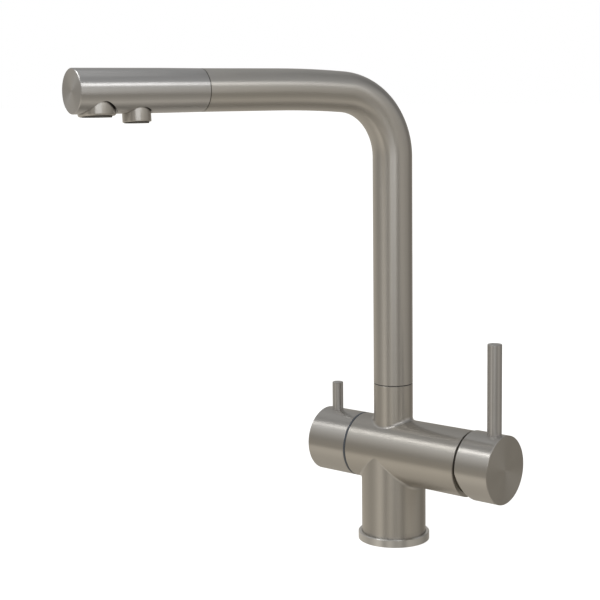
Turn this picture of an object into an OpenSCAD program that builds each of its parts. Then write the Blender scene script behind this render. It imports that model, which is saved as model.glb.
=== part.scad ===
// Three-way kitchen faucet for a worktop: hot, cold and filtered water.
// The long lever works the mixer, the short one the filtered water, and the spout swivels.
// Origin at the centre of the base on the worktop, +Z up, millimetres.
// The cross body lies along X with the mixer at +X. The spout points to the front, at -Y.

/* [Column and base] */
// Outer diameter of the upright column
column_d = 46; // [45:0.25:48]
// Wall of the column round the space for the hoses
column_wall = 3; // [2.5:0.25:3.5]
// Height of the space for the hoses, above the worktop
hollow_h = 38; // [34:0.5:39]
// How far the base ring stands out past the column
base_lip = 2.6; // [2:0.2:4]
// Height of the base ring
base_ring_h = 5.5; // [4.5:0.5:8]
// Ledge of the base ring that the column stands on
base_ledge = 2; // [1.8:0.1:2.5]
// Thickness of the gasket under the base ring
gasket_t = 1.4; // [1:0.1:1.5]

/* [Cross body] */
// Outer diameter of the cross body
cross_d = 46.2; // [45.4:0.4:48.2]
// Height of the cross body's axis above the worktop
axis_z = 65; // [63:0.5:66]
// Length of the cross body from the column's axis to its right rim
cross_right = 66; // [62:0.5:74]
// Length of the cross body from the column's axis to its left rim
cross_left = 26.8; // [26:0.2:34]

/* [Supply ports] */
// Core diameter of the threaded port for each hose
port_d = 9; // [8.6:0.1:9.4]
// Depth of each threaded port
port_depth = 12; // [10:0.5:13]
// Distance of the hot and cold ports to the right of the column's axis
port_x = 8; // [7.5:0.25:9]
// Distance of the hot and cold ports from the middle plane
port_y = 7; // [6.5:0.25:7.5]
// Distance of the filtered water port to the left of the column's axis
filter_port_x = 8; // [7:0.25:8.5]
// Core diameter of the hole for the fixing stud
stud_hole_d = 6.8; // [6:0.2:7]
// Depth of the hole for the fixing stud
stud_hole_depth = 14; // [10:0.5:16]
// Distance of the fixing stud behind the column's axis
stud_y = 13; // [12.5:0.25:13.5]

/* [Spout] */
// Outer diameter of the spout tube and of the collar under it
spout_d = 28; // [27.5:0.25:30]
// Wall of the spout tube
spout_wall = 1.5; // [1.2:0.1:2]
// Height of the seam between collar and spout
collar_top = 113.8; // [112.8:0.2:120]
// Height of the spout's level arm
arm_z = 324; // [290:2:350]
// Bend radius at the top of the spout, to the tube's centre line
bend_r = 46.4; // [40:0.4:60]
// Radius of the long easy curve where the bend runs out into the arm
ease_r = 725; // [500:25:900]
// Angle of that easy curve
ease_deg = 4.2; // [2:0.2:4.4]
// Reach of the spout from its swivel axis to the front face
reach = 244; // [236:1:280]
// Angle by which the spout is turned to the left of straight ahead
rest_deg = 16.6; // [0:0.2:30]
// Swing of the spout to each side of straight ahead
swing_deg = 70; // [50:1:75]

/* [Outlet head] */
// Length of the outlet head
head_len = 90; // [86:1:100]
// How far the head's surface stands over the spout tube
head_step = 0.2; // [0.1:0.05:0.5]
// Length over which the head's rear end is turned down to the tube
head_taper = 28; // [18:1:34]
// Diameter of the main outlet's sleeve
main_d = 21; // [20.6:0.2:21.4]
// Width of the open gap round that sleeve
main_gap = 2.3; // [1.6:0.1:2.4]
// Distance of the main outlet behind the front face
main_inset = 16.8; // [16:0.2:20]
// How far the main outlet stands below the head
main_drop = 1.4; // [0.8:0.2:3]
// Diameter of the filtered water nozzle
nozzle_d = 18.2; // [17.6:0.2:18.6]
// Width of the open gap round that nozzle
nozzle_gap = 1; // [0.5:0.1:1.2]
// Distance between the two outlets
outlet_pitch = 27; // [25:0.5:29]
// How far the filtered water nozzle stands below the head
nozzle_drop = 5.4; // [4:0.2:8]

/* [Mixer handle] */
// How far the mixer knob's surface stands over the cross body
knob_step = 0.7; // [0.3:0.1:1.5]
// Gap between the cross body's rim and the mixer knob
knob_gap = 2; // [1.8:0.1:3]
// Length of the mixer knob
knob_len = 26; // [25:0.5:30]
// Wall of the mixer knob round its hollow
knob_wall = 3.2; // [2.8:0.1:3.4]
// Angle of the relief cut in the knob's lower half
relief_deg = 18; // [17:0.5:20]
// Diameter of the mixer lever
lever_d = 10; // [8:0.5:11]
// Height of the mixer lever's tip over the cross body's axis
lever_h = 86; // [60:1:110]
// Distance of the mixer lever behind the knob's front face
lever_inset = 8.8; // [7.5:0.1:9]

/* [Cartridge] */
// Diameter of the cartridge
cartridge_d = 35; // [34:0.25:35.5]
// Thickness of the cartridge's base
cartridge_base_t = 4.4; // [4:0.1:4.8]
// Thickness of the fixed ceramic disc
fixed_disc_t = 3.5; // [3:0.1:4]
// Thickness of the sliding ceramic disc
moving_disc_t = 3; // [2.6:0.1:3.4]
// Distance from the stem's pivot to the middle of its ball
stem_arm = 6.4; // [6:0.1:6.6]
// Diameter of the ball at the stem's inner end
ball_d = 4.8; // [4.4:0.1:5]
// Width across the square stem
stem_w = 7.8; // [7:0.1:8]
// Diameter of the pivot pin
pivot_d = 3; // [2.4:0.1:3.2]

/* [Filtered water handle] */
// Thickness of the plastic ring in the left seam
friction_ring_t = 1.3; // [1:0.1:2]
// Length of the filtered water knob
filter_knob_len = 32.8; // [31:0.2:38]
// Wall of the filtered water knob round its hollow
filter_knob_wall = 4; // [3:0.2:5]
// Diameter of the filtered water lever
filter_lever_d = 8; // [6.5:0.25:9]
// Height of the filtered water lever's tip over the cross body's axis
filter_lever_h = 43.2; // [36:0.4:70]
// Distance of the filtered water lever behind the knob's end face
filter_lever_inset = 10; // [8:0.25:10.5]

/* [Filtered water valve] */
// Depth of the valve's seat in the cross body
valve_depth = 14.8; // [14:0.1:15.5]
// Thread diameter of the valve body
valve_thread_d = 21; // [20.5:0.25:21.5]
// Diameter of the two ceramic discs in the valve
valve_disc_d = 16.4; // [15.6:0.1:16.6]
// Thickness of each ceramic disc in the valve
valve_disc_t = 3; // [2.6:0.1:3]
// Diameter of the valve spindle
spindle_d = 8; // [7:0.1:8.2]
// Width across the flats of the valve body's hexagon
valve_hex = 26; // [24:0.5:26.5]

/* [Hidden] */
$fn = 96;

// Overrun of every cut past the surface that it opens
cut = 1;
// Chamfer on turned edges
edge = 0.4;
// Clearance of a running fit
run_fit = 0.05;
// Clearance of a piece in its own seat
slip = 0.1;
// Clearance between pieces that move past each other without bearing
air = 0.3;

// Column and base
column_r = column_d / 2;
hollow_r = column_r - column_wall;
ring_r = column_r + base_lip;
gasket_rim = 1.6;
gasket_w = 3;

// Cross body and its two pockets
cross_r = cross_d / 2;
cartridge_r = cartridge_d / 2;
cartridge_pocket_depth = 34;
cartridge_pocket_r = cartridge_r + 2 * air;
cartridge_floor = cross_right - cartridge_pocket_depth;
thread_step = 1.15;
cartridge_thread_r = cartridge_pocket_r + thread_step;
valve_floor = cross_left - valve_depth;
valve_pocket_r = valve_thread_d / 2 + slip;

// Waterways: diameters, and heights over or under the cross body's axis
inlet_d = 7;
inlet_cross_d = 6.4;
inlet_drop = 6;
mixed_d = 5.8;
mixed_cross_d = 5.4;
mixed_rise = 9.5;
mixed_x = 7.7;
filtered_d = 6;
filtered_cross_d = 5.4;
filtered_out_d = 4;
filtered_out_cross_d = 3.4;
filtered_out_rise = 8.2;

// Swivel in the collar
spout_r = spout_d / 2;
collar_wall = 3;
swivel_r = spout_r - collar_wall;
swivel_depth = 32;
swivel_floor = collar_top - swivel_depth;
washer_t = 0.5;
seam_z = collar_top + washer_t;
foot_r = swivel_r - run_fit;
foot_bore_r = 7;
foot_lift = 3.5;
foot_base_z = swivel_floor + foot_lift;
groove_depth = 1.75;
stop_z = collar_top - swivel_depth / 2;
stop_screw_d = 5;
stop_half = stop_screw_d / 2 + air;
stop_reach = groove_depth - edge;
stop_margin_deg = 1;
slide_ring_h = 3.5;
slide_ring_t = 0.9;
slide_ring_edge = 1;
socket_d = 8;
socket_depth = 4.5;

// Cartridge, stacked along X
seat_ring_r = 4.3;
seat_ring_t = 1.8;
seat_squeeze = 0.6;
way_r = 3;
base_x = cartridge_floor + seat_squeeze;
fixed_disc_x = base_x + cartridge_base_t + run_fit;
moving_disc_x = fixed_disc_x + fixed_disc_t + run_fit;
carrier_x = moving_disc_x + moving_disc_t + run_fit;
ball_r = ball_d / 2;
carrier_floor = 0.6;
ball_x = carrier_x + carrier_floor + 2 * slip + ball_r;
pivot_x = ball_x + stem_arm;
carrier_top_x = ball_x + ball_r - slip;
carrier_half_w = 8;
cartridge_wall = 3.5;
turret_r = cartridge_r - cartridge_wall;
disc_margin = 2;
lobe_trim = 1.2;
shoulder_rise = 3;
neck_r = 9.5;
neck_rise = 5;
pin_inset = 1;
shoulder_x = pivot_x + shoulder_rise;
neck_top_x = shoulder_x + neck_rise;
housing_top_t = 2;
housing_step = 1.5;
housing_neck_r = cartridge_r - housing_step;
nut_set = 1;
nut_x = pivot_x - nut_set;
nut_len = 7.5;
nut_notch_w = 4;
nut_notches = 6;
eye_r = 3.7;
arm_d = 3.2;
lift_deg = relief_deg - 2;
stem_half = stem_w / 2;
slot_side = stem_half + 2 * slip;
slot_up = stem_half + 3 * air;
slot_down = stem_half / cos(lift_deg) + (neck_top_x - pivot_x) * tan(lift_deg) + air;

// Dome over the cartridge, round the stem's pivot
dome_land = 0.95;
dome_seat_r = cartridge_thread_r + dome_land;
dome_r = norm([cross_right - pivot_x, dome_seat_r]);
dome_t = 1.2;
dome_hole_r = 13;
dome_spigot = 4;
dome_air = 2.5;

// Mixer handle
knob_r = cross_r + knob_step;
knob_x = cross_right + knob_gap;
knob_end = knob_x + knob_len;
knob_hollow_r = knob_r - knob_wall;
knob_floor_x = pivot_x + dome_r + dome_air;
stem_cover = 4;
stem_end = knob_end - stem_cover;
lever_x = knob_end - lever_inset;
lever_edge = 0.25;
lever_stud_share = 0.6;
lever_root = 9;
grub_d = 5;
grub_len = 8;
grub_key = 2.5;
grub_key_depth = 2.2;

// Filtered water valve and handle, measured to the left of the column's axis
valve_disc_r = valve_disc_d / 2;
valve_seal_t = 1.4;
valve_chamber_r = valve_disc_r + slip;
valve_fixed_u = valve_floor + valve_seal_t + run_fit;
valve_moving_u = valve_fixed_u + valve_disc_t + run_fit;
plate_u = valve_moving_u + valve_disc_t + run_fit;
plate_t = 2;
plate_end_u = plate_u + plate_t;
valve_thread_u = plate_end_u + slip;
hex_u = cross_left + run_fit;
hex_t = 4.3;
hex_corner_r = valve_hex / 2 / cos(30);
valve_neck_r = 8;
valve_neck_len = 5;
valve_neck_end = hex_u + hex_t + valve_neck_len;
valve_nose = 1;
valve_window_r = 1.6;
seal_rim = 1.2;
window_hub = 1;
window_rim = 2;
window_deg = 84;
spindle_r = spindle_d / 2;
spindle_groove = 0.6;
spindle_ring_t = 1.3;
spindle_ring_u = hex_u + valve_nose;
clip_t = 1;
clip_r = 6.2;
ring_u = cross_left + run_fit;
filter_u = ring_u + friction_ring_t + run_fit;
filter_end = filter_u + filter_knob_len;
filter_hollow_r = cross_r - filter_knob_wall;
clip_room = 2;
filter_solid_u = valve_neck_end + slip + clip_t + clip_room;
filter_lever_u = filter_end - filter_lever_inset;
spindle_end = filter_lever_u + spindle_r / 2;

// Spout: where its bend starts, and where the easy curve meets the level arm
spout_bore_r = spout_r - spout_wall;
bend_deg = 90 - ease_deg;
bend_z = arm_z - ease_r + (ease_r - bend_r) * cos(ease_deg);
ease_x = bend_r + (ease_r - bend_r) * sin(ease_deg);
plug_len = 10;
hose_r = 3;
hose_bore_r = 2;
ferrule_len = 9.5;
barb_len = 6;
ferrule_ring_t = 1;

// Outlet head, measured along the arm from the swivel axis
head_r = spout_r + head_step;
head_x = reach - head_len;
seam = 0.5;
nipple_r = spout_bore_r - run_fit;
nipple_len = 12;
nipple_thread_r = 11.9;
nipple_thread_len = 9.6;
nipple_bore_r = 8.5;
socket_x = head_x + nipple_thread_len + seam / 2 + slip;
hose_end = socket_x + nipple_len;
main_x = reach - main_inset;
nozzle_x = main_x - outlet_pitch;
main_r = main_d / 2;
nozzle_r = nozzle_d / 2;
gap_roof = 1.2;
sleeve_wall = 1.2;
channel_r = 3.2;
channel_y = 7;
channel_up = 5;
main_bottom = arm_z - head_r - main_drop;
nozzle_bottom = arm_z - head_r - nozzle_drop;
main_roof = arm_z - edge;
main_throat_r = 7.4;
nozzle_roof_drop = 3;
nozzle_roof = arm_z - nozzle_roof_drop;
washer_h = 1;
nozzle_throat_r = 4;
insert_drop = 0.7;
insert_t = 4;
mesh_hole_d = 1.5;
mesh_rim = 1.7;
main_mesh_rings = 3;
nozzle_mesh_rings = 2;

// A round rod along one axis; heights and sides are taken from the cross body's axis
module rod_z(r, z0, z1, x = 0, y = 0) {
    translate([x, y, z0]) cylinder(r = r, h = z1 - z0);
}
module rod_x(r, x0, x1, y = 0, up = 0) {
    translate([x0, y, axis_z + up]) rotate([0, 90, 0]) cylinder(r = r, h = x1 - x0);
}
module rod_y(r, y0, y1, x = 0, z = axis_z) {
    translate([x, y0, z]) rotate([-90, 0, 0]) cylinder(r = r, h = y1 - y0);
}

// A turned piece; each point of its outline is a radius and a place along its axis
module turned_z(outline) {
    rotate_extrude() polygon(outline);
}
module turned_right(outline) {
    translate([0, 0, axis_z]) rotate([0, 90, 0]) rotate_extrude() polygon(outline);
}
module turned_left(outline) {
    translate([0, 0, axis_z]) rotate([0, -90, 0]) rotate_extrude() polygon(outline);
}
function bar(r, a, b, e = edge) = [
    [0, a], [r - e, a], [r, a + e], [r, b - e], [r - e, b], [0, b]
];
function sleeve(ro, ri, a, b) = [[ri, a], [ro, a], [ro, b], [ri, b]];

// A rubber ring; r is the radius of its middle line
module o_ring(r, t) {
    rotate_extrude() translate([r, 0]) circle(d = t);
}

// The frame of the arm: its X runs from the swivel axis along the arm
module on_arm() {
    rotate([0, 0, -90 - rest_deg]) children();
}
module turned_arm(outline) {
    on_arm() translate([0, 0, arm_z]) rotate([0, 90, 0]) rotate_extrude() polygon(outline);
}

// A tube along the spout's centre line, from height z0 to the length x1 on the arm
module spout_path(ro, ri, z0, x1) {
    on_arm() difference() {
        spout_rod(ro, z0, x1);
        spout_rod(ri, z0 - cut, x1 + cut);
    }
}
module spout_rod(r, z0, x1) {
    exact_shift([0, 0, bend_z]) {
        rotate([180, 0, 0]) cylinder(r = r, h = bend_z - z0);
        translate([bend_r, 0, 0]) rotate([90, 0, 180])
            rotate_extrude(angle = bend_deg) translate([bend_r, 0]) circle(r = r);
    }
    exact_shift([ease_x, 0, arm_z]) {
        rotate([0, 90, 0]) cylinder(r = r, h = x1 - ease_x);
        translate([0, 0, -ease_r]) rotate([0, -90, 0]) rotate([90, 0, 0])
            rotate_extrude(angle = ease_deg) translate([ease_r, 0]) circle(r = r);
    }
}
// A shift in steps, whole millimetres, then thousandths, so that pieces in a row meet exactly
module exact_shift(v) {
    whole = [for (c = v) floor(c)];
    fine = [for (c = v - whole) floor(1000 * c) / 1000];
    translate(whole) translate(fine) translate(v - whole - fine) children();
}

// Column, cross body and collar, welded and ground, with the bores for the water
module body() {
    color("#a39c92") difference() {
        union() {
            turned_z(bar(column_r, base_ledge, axis_z));
            turned_right(bar(cross_r, -cross_left, cross_right));
            turned_z(bar(spout_r, axis_z, collar_top));
        }
        rod_z(hollow_r, base_ledge - cut, hollow_h);
        rod_z(stud_hole_d / 2, hollow_h - cut, hollow_h + stud_hole_depth, y = stud_y);
        rod_x(cartridge_pocket_r, cartridge_floor, cross_right + cut);
        rod_x(cartridge_thread_r, nut_x - nut_set, cross_right + cut);
        rod_x(valve_pocket_r, -cross_left - cut, -valve_floor);
        rod_z(swivel_r, swivel_floor, collar_top + cut);
        rod_z(socket_d / 2 + run_fit, swivel_floor - socket_depth, swivel_floor + cut);
        rod_y(stop_screw_d / 2, foot_bore_r, spout_r + cut, z = stop_z);
        inlet_ways();
        mixed_way();
        filtered_ways();
    }
}
module inlet_ways() {
    for (side = [-1, 1]) {
        rod_z(port_d / 2, hollow_h - cut, hollow_h + port_depth, port_x, side * port_y);
        rod_z(inlet_d / 2, hollow_h, axis_z - inlet_drop + inlet_d / 2, port_x, side * port_y);
        rod_x(inlet_cross_d / 2, port_x, cartridge_floor + cut, side * port_y, -inlet_drop);
    }
}
module mixed_way() {
    rod_x(mixed_cross_d / 2, mixed_x, cartridge_floor + cut, up = mixed_rise);
    rod_z(mixed_d / 2, axis_z + mixed_rise - mixed_d / 2, swivel_floor + cut, mixed_x);
}
module filtered_ways() {
    rod_z(port_d / 2, hollow_h - cut, hollow_h + port_depth, -filter_port_x);
    rod_z(filtered_d / 2, hollow_h, axis_z + filtered_d / 2, -filter_port_x);
    rod_x(filtered_cross_d / 2, -valve_floor - cut, -filter_port_x);
    rod_x(filtered_out_cross_d / 2, -valve_floor - cut, 0, up = filtered_out_rise);
    rod_z(filtered_out_d / 2, axis_z + filtered_out_rise - filtered_out_d / 2,
          swivel_floor - socket_depth + cut);
}

module base_ring() {
    color("#aca69d") turned_z([
        [hollow_r, 0], [ring_r - gasket_rim - gasket_w, 0],
        [ring_r - gasket_rim - gasket_w, gasket_t], [ring_r - gasket_rim, gasket_t],
        [ring_r - gasket_rim, 0], [ring_r, 0], [ring_r, base_ring_h - edge],
        [ring_r - edge, base_ring_h], [column_r + air, base_ring_h],
        [column_r + air, base_ledge], [hollow_r, base_ledge]
    ]);
}

module base_gasket() {
    color("#26262a") turned_z(sleeve(ring_r - gasket_rim - slip,
                                     ring_r - gasket_rim - gasket_w + slip, 0, gasket_t));
}

// Hexagon socket in the end of a screw whose axis is the local Z
module hex_key(depth) {
    translate([0, 0, -depth]) cylinder(d = grub_key / cos(30), h = depth + cut, $fn = 6);
}

module swivel_stop_screw() {
    color("#8d8a84") difference() {
        rod_y(stop_screw_d / 2 - run_fit, swivel_r - stop_reach, spout_r - edge, z = stop_z);
        translate([0, spout_r - edge, stop_z]) rotate([-90, 0, 0]) hex_key(grub_key_depth);
    }
}

module collar_washer() {
    color("#2c2c2e") turned_z(sleeve(spout_r - slip, swivel_r + slip, collar_top,
                                     seam_z - run_fit));
}

// Places of the three waterways on the cartridge's face: side and height
function seat_places() = [[-port_y, -inlet_drop], [port_y, -inlet_drop], [0, mixed_rise]];

module seat_o_rings() {
    color("#1f1f22") for (p = seat_places())
        translate([cartridge_floor + seat_ring_t / 2, p[0], axis_z + p[1]])
            rotate([0, 90, 0]) o_ring(seat_ring_r, seat_ring_t);
}

module cartridge_base() {
    color("#e6e2d6") difference() {
        rod_x(cartridge_r - slip, base_x, base_x + cartridge_base_t);
        for (p = seat_places()) {
            rod_x(way_r, base_x - cut, base_x + cartridge_base_t + cut, p[0], p[1]);
            translate([base_x, p[0], axis_z + p[1]]) rotate([0, 90, 0]) rotate_extrude()
                translate([seat_ring_r - seat_ring_t / 2, -cut])
                    square([seat_ring_t, seat_ring_t - seat_squeeze + cut]);
        }
    }
}

module fixed_disc() {
    color("#f4f1ea") difference() {
        rod_x(turret_r - air, fixed_disc_x, fixed_disc_x + fixed_disc_t);
        for (p = seat_places())
            rod_x(way_r - slip, fixed_disc_x - cut, moving_disc_x + cut, p[0], p[1]);
    }
}

module cartridge_housing() {
    color("#dfdbd0") turned_right([
        [turret_r + run_fit, base_x + cartridge_base_t], [cartridge_r, base_x + cartridge_base_t],
        [cartridge_r, nut_x], [housing_neck_r, nut_x],
        [housing_neck_r, shoulder_x + run_fit + housing_top_t],
        [neck_r + air, shoulder_x + run_fit + housing_top_t],
        [neck_r + air, shoulder_x + run_fit], [turret_r + run_fit, shoulder_x + run_fit]
    ]);
}

module cartridge_nut() {
    color("#b59a5a") difference() {
        turned_right(sleeve(cartridge_thread_r - slip, housing_neck_r + slip,
                            nut_x, nut_x + nut_len));
        for (k = [0 : nut_notches - 1])
            translate([nut_x + nut_len, 0, axis_z]) rotate([k * 360 / nut_notches, 0, 0])
                translate([-nut_notch_w / 2, -nut_notch_w / 2, 0])
                    cube([nut_notch_w, nut_notch_w, cross_r]);
    }
}

// Turned dome that fills the gap between cross body and knob at every lift of the lever
function dome_arc(r, a0, a1, steps = 8) = [
    for (k = [0 : steps])
        let (a = a0 + (a1 - a0) * k / steps) [r * sin(a), pivot_x + r * cos(a)]
];
module cover_ring() {
    inner_r = dome_r - dome_t;
    spigot_r = cartridge_thread_r - slip;
    color("#6a665e") turned_right(concat(
        [[spigot_r, cross_right - dome_spigot], [spigot_r, cross_right]],
        dome_arc(dome_r, asin(dome_seat_r / dome_r), asin(dome_hole_r / dome_r)),
        dome_arc(inner_r, asin(dome_hole_r / inner_r), asin((spigot_r - dome_t) / inner_r)),
        [[spigot_r - dome_t, cross_right - dome_spigot]]
    ));
}

// The part of the cartridge that turns, with legs that guide the disc's carrier
module turret() {
    color("#3c4a5c") difference() {
        union() {
            rod_x(turret_r, carrier_x + air, shoulder_x);
            rod_x(neck_r, shoulder_x - cut, neck_top_x);
        }
        translate([carrier_x, -carrier_half_w - air, axis_z - cartridge_r])
            cube([carrier_top_x - carrier_x + air, 2 * (carrier_half_w + air), cartridge_d]);
        translate([carrier_x, -slot_side, axis_z - slot_down])
            cube([neck_top_x - carrier_x + cut, 2 * slot_side, slot_down + slot_up]);
        rod_y(pivot_d / 2 + run_fit, -cartridge_r, cartridge_r, pivot_x);
    }
}

module pivot_pin() {
    color("#9b9a97") rod_y(pivot_d / 2, pin_inset - turret_r, turret_r - pin_inset, pivot_x);
}

module moving_disc() {
    color("#f4f1ea") difference() {
        rod_x(turret_r - disc_margin, moving_disc_x, moving_disc_x + moving_disc_t);
        mixing_chamber();
    }
}
// Chamber in the face of the sliding disc: two lobes for the inlets and one to the outlet
module mixing_chamber() {
    chamber_end = moving_disc_x + moving_disc_t / 2;
    for (side = [-1, 1])
        rod_x(way_r, moving_disc_x - cut, chamber_end, side * way_r, -way_r / 2);
    rod_x(2 * way_r - lobe_trim, moving_disc_x - cut, chamber_end, up = way_r);
}

module disc_carrier() {
    color("#d8d4c8") difference() {
        intersection() {
            rod_x(turret_r - disc_margin, carrier_x, carrier_top_x);
            translate([carrier_x - cut, -carrier_half_w, axis_z - cartridge_r])
                cube([carrier_top_x - carrier_x + 2 * cut, 2 * carrier_half_w, cartridge_d]);
        }
        rod_x(ball_r + 2 * slip, carrier_x + carrier_floor, carrier_top_x + cut);
    }
}

// Square stem with its eye on the pivot pin and the ball that pushes the carrier
module stem() {
    color("#b59a5a") difference() {
        union() {
            translate([pivot_x, -stem_half, axis_z - stem_half])
                cube([stem_end - pivot_x, stem_w, stem_w]);
            rod_y(eye_r, -stem_half, stem_half, pivot_x);
            rod_x(arm_d / 2, ball_x, pivot_x);
            translate([ball_x, 0, axis_z]) sphere(r = ball_r);
        }
        rod_y(pivot_d / 2 + run_fit, -cartridge_r, cartridge_r, pivot_x);
    }
}

// Turned cup whose lower half is cut back so that it can lean over the cross body's rim
module mixer_knob() {
    color("#a39c92") difference() {
        turned_right([
            [knob_hollow_r, knob_x], [knob_r - edge, knob_x], [knob_r, knob_x + edge],
            [knob_r, knob_end - edge], [knob_r - edge, knob_end], [0, knob_end],
            [0, knob_floor_x], [knob_hollow_r, knob_floor_x]
        ]);
        translate([knob_x, knob_r + cut, axis_z]) rotate([90, 0, 0])
            linear_extrude(2 * (knob_r + cut)) polygon([
                [0, 0], [(knob_r + cut) * tan(relief_deg), -knob_r - cut],
                [-cut, -knob_r - cut], [-cut, 0]
            ]);
        translate([knob_floor_x - cut, -stem_half - slip, axis_z - stem_half - slip])
            cube([stem_end - knob_floor_x + cut + slip, stem_w + 2 * slip, stem_w + 2 * slip]);
        rod_z(lever_stud_share * lever_d / 2 + run_fit, axis_z + lever_root - slip,
              axis_z + knob_r + cut, lever_x);
        rod_y(grub_d / 2, 0, knob_r + cut, lever_x);
    }
}

// Round lever whose foot is milled to the knob it stands on
module lever(d, h, seat_r) {
    difference() {
        union() {
            rod_z(lever_stud_share * d / 2, axis_z + lever_root, axis_z + seat_r);
            difference() {
                turned_z(bar(d / 2, axis_z, axis_z + h, lever_edge));
                rod_x(seat_r, -d, d);
            }
        }
    }
}

module mixer_lever() {
    color("#9a9389") translate([lever_x, 0, 0]) lever(lever_d, lever_h, knob_r);
}

module grub_screw(tip) {
    difference() {
        rod_y(grub_d / 2 - run_fit, tip, tip + grub_len);
        translate([0, tip + grub_len, axis_z]) rotate([-90, 0, 0]) hex_key(grub_key_depth);
    }
}

module mixer_grub_screw() {
    color("#8d8a84") translate([lever_x, 0, 0]) grub_screw(stem_half + run_fit);
}

module valve_seal() {
    color("#1f1f22") turned_left(sleeve(valve_disc_r - seal_rim, filtered_cross_d / 2 + seal_rim,
                                        valve_floor, valve_floor + valve_seal_t));
}

// A valve disc has two quarter windows; turn is the place of the first one
module valve_disc(u, turn) {
    translate([-u, 0, axis_z]) rotate([0, -90, 0]) difference() {
        cylinder(r = valve_disc_r, h = valve_disc_t);
        for (side = [0, 180])
            rotate([0, 0, turn + side]) translate([0, 0, -cut]) rotate_extrude(angle = window_deg)
                translate([window_hub, 0])
                    square([valve_disc_r - window_rim - window_hub, valve_disc_t + 2 * cut]);
    }
}

module valve_fixed_disc() {
    color("#f4f1ea") valve_disc(valve_fixed_u, 0);
}

module valve_moving_disc() {
    color("#f4f1ea") valve_disc(valve_moving_u, 90);
}

module valve_body() {
    color("#b59a5a") difference() {
        union() {
            turned_left([
                [0, valve_floor + air], [valve_pocket_r - valve_nose, valve_floor + air],
                [valve_pocket_r - valve_nose, valve_thread_u],
                [valve_pocket_r - slip, valve_thread_u],
                [valve_pocket_r - slip, hex_u + cut], [0, hex_u + cut]
            ]);
            translate([-hex_u, 0, axis_z]) rotate([0, -90, 0])
                cylinder(r = hex_corner_r, h = hex_t, $fn = 6);
            rod_x(valve_neck_r, -valve_neck_end, -hex_u - cut);
        }
        rod_x(valve_chamber_r, -plate_end_u - slip, -valve_floor);
        rod_x(spindle_r + run_fit, -valve_neck_end - cut, -plate_u);
        rod_x(spindle_r + run_fit + spindle_ring_t, -spindle_ring_u - spindle_ring_t - slip,
              -spindle_ring_u);
        rod_z(valve_window_r, axis_z - valve_pocket_r, axis_z + valve_pocket_r,
              -plate_u - plate_t / 2);
    }
}

module spindle_o_ring() {
    color("#1f1f22") translate([-spindle_ring_u - (spindle_ring_t + slip) / 2, 0, axis_z])
        rotate([0, -90, 0])
            o_ring(spindle_r + run_fit + spindle_ring_t / 2, spindle_ring_t - run_fit);
}

module friction_ring() {
    color("#5c626e") turned_left(sleeve(cross_r, hex_corner_r + air, ring_u,
                                        ring_u + friction_ring_t));
}

module valve_spindle() {
    clip_u = valve_neck_end + slip;
    color("#b59a5a") turned_left([
        [0, plate_u], [valve_disc_r - edge, plate_u], [valve_disc_r - edge, plate_end_u],
        [spindle_r, plate_end_u], [spindle_r, clip_u], [spindle_r - spindle_groove, clip_u],
        [spindle_r - spindle_groove, clip_u + clip_t], [spindle_r, clip_u + clip_t],
        [spindle_r, spindle_end], [0, spindle_end]
    ]);
}

module spindle_clip() {
    clip_u = valve_neck_end + slip;
    color("#55565a") difference() {
        turned_left(sleeve(clip_r, spindle_r - spindle_groove + run_fit,
                           clip_u + run_fit, clip_u + clip_t - run_fit));
        translate([-clip_u - clip_t - cut, -spindle_r / 2, axis_z - clip_r - cut])
            cube([clip_t + 2 * cut, spindle_r, clip_r]);
    }
}

module filter_knob() {
    color("#a39c92") difference() {
        turned_left([
            [filter_hollow_r, filter_u], [cross_r - edge, filter_u], [cross_r, filter_u + edge],
            [cross_r, filter_end - edge], [cross_r - edge, filter_end], [0, filter_end],
            [0, filter_solid_u], [filter_hollow_r, filter_solid_u]
        ]);
        rod_x(spindle_r + run_fit, -spindle_end - slip, cut - filter_solid_u);
        rod_z(lever_stud_share * filter_lever_d / 2 + run_fit, axis_z + lever_root - slip,
              axis_z + cross_r + cut, -filter_lever_u);
        rod_y(grub_d / 2, 0, cross_r + cut, -filter_lever_u);
    }
}

module filter_lever() {
    color("#9a9389") translate([-filter_lever_u, 0, 0])
        lever(filter_lever_d, filter_lever_h, cross_r);
}

module filter_grub_screw() {
    color("#8d8a84") translate([-filter_lever_u, 0, 0]) grub_screw(spindle_r + 2 * run_fit);
}

module spout_tube() {
    color("#a39c92") spout_path(spout_r, spout_bore_r, seam_z, head_x - seam / 2);
}

// Swivel foot pressed into the tube, with its grooves and the slot for the stop screw
module spout_foot() {
    margin = asin(stop_screw_d / 2 / (foot_r - groove_depth)) + stop_margin_deg;
    color("#b0aba2") difference() {
        turned_z([
            [foot_bore_r, foot_base_z], [foot_r, foot_base_z], [foot_r, seam_z],
            [nipple_r, seam_z], [nipple_r, seam_z + plug_len], [foot_bore_r, seam_z + plug_len]
        ]);
        for (z = o_ring_places())
            turned_z(sleeve(swivel_r, foot_r - groove_depth, z - groove_depth / 2 - slip,
                            z + groove_depth / 2 + slip));
        for (z = slide_ring_places())
            turned_z(sleeve(swivel_r, foot_r - slide_ring_t - run_fit, z, z + slide_ring_h));
        rotate([0, 0, 90 - swing_deg - rest_deg - margin])
            rotate_extrude(angle = 2 * (swing_deg + margin))
                translate([foot_r - groove_depth, stop_z - stop_half])
                    square([groove_depth + cut, 2 * stop_half]);
    }
}
function slide_ring_places() = [
    foot_base_z + slide_ring_edge, collar_top - slide_ring_h - slide_ring_edge
];
// The seals share the room between the slot for the stop screw and the upper slide ring
function o_ring_places() =
    let (low = stop_z + stop_half, room = slide_ring_places()[1] - low)
        [low + room / 3, low + 2 * room / 3];

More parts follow.
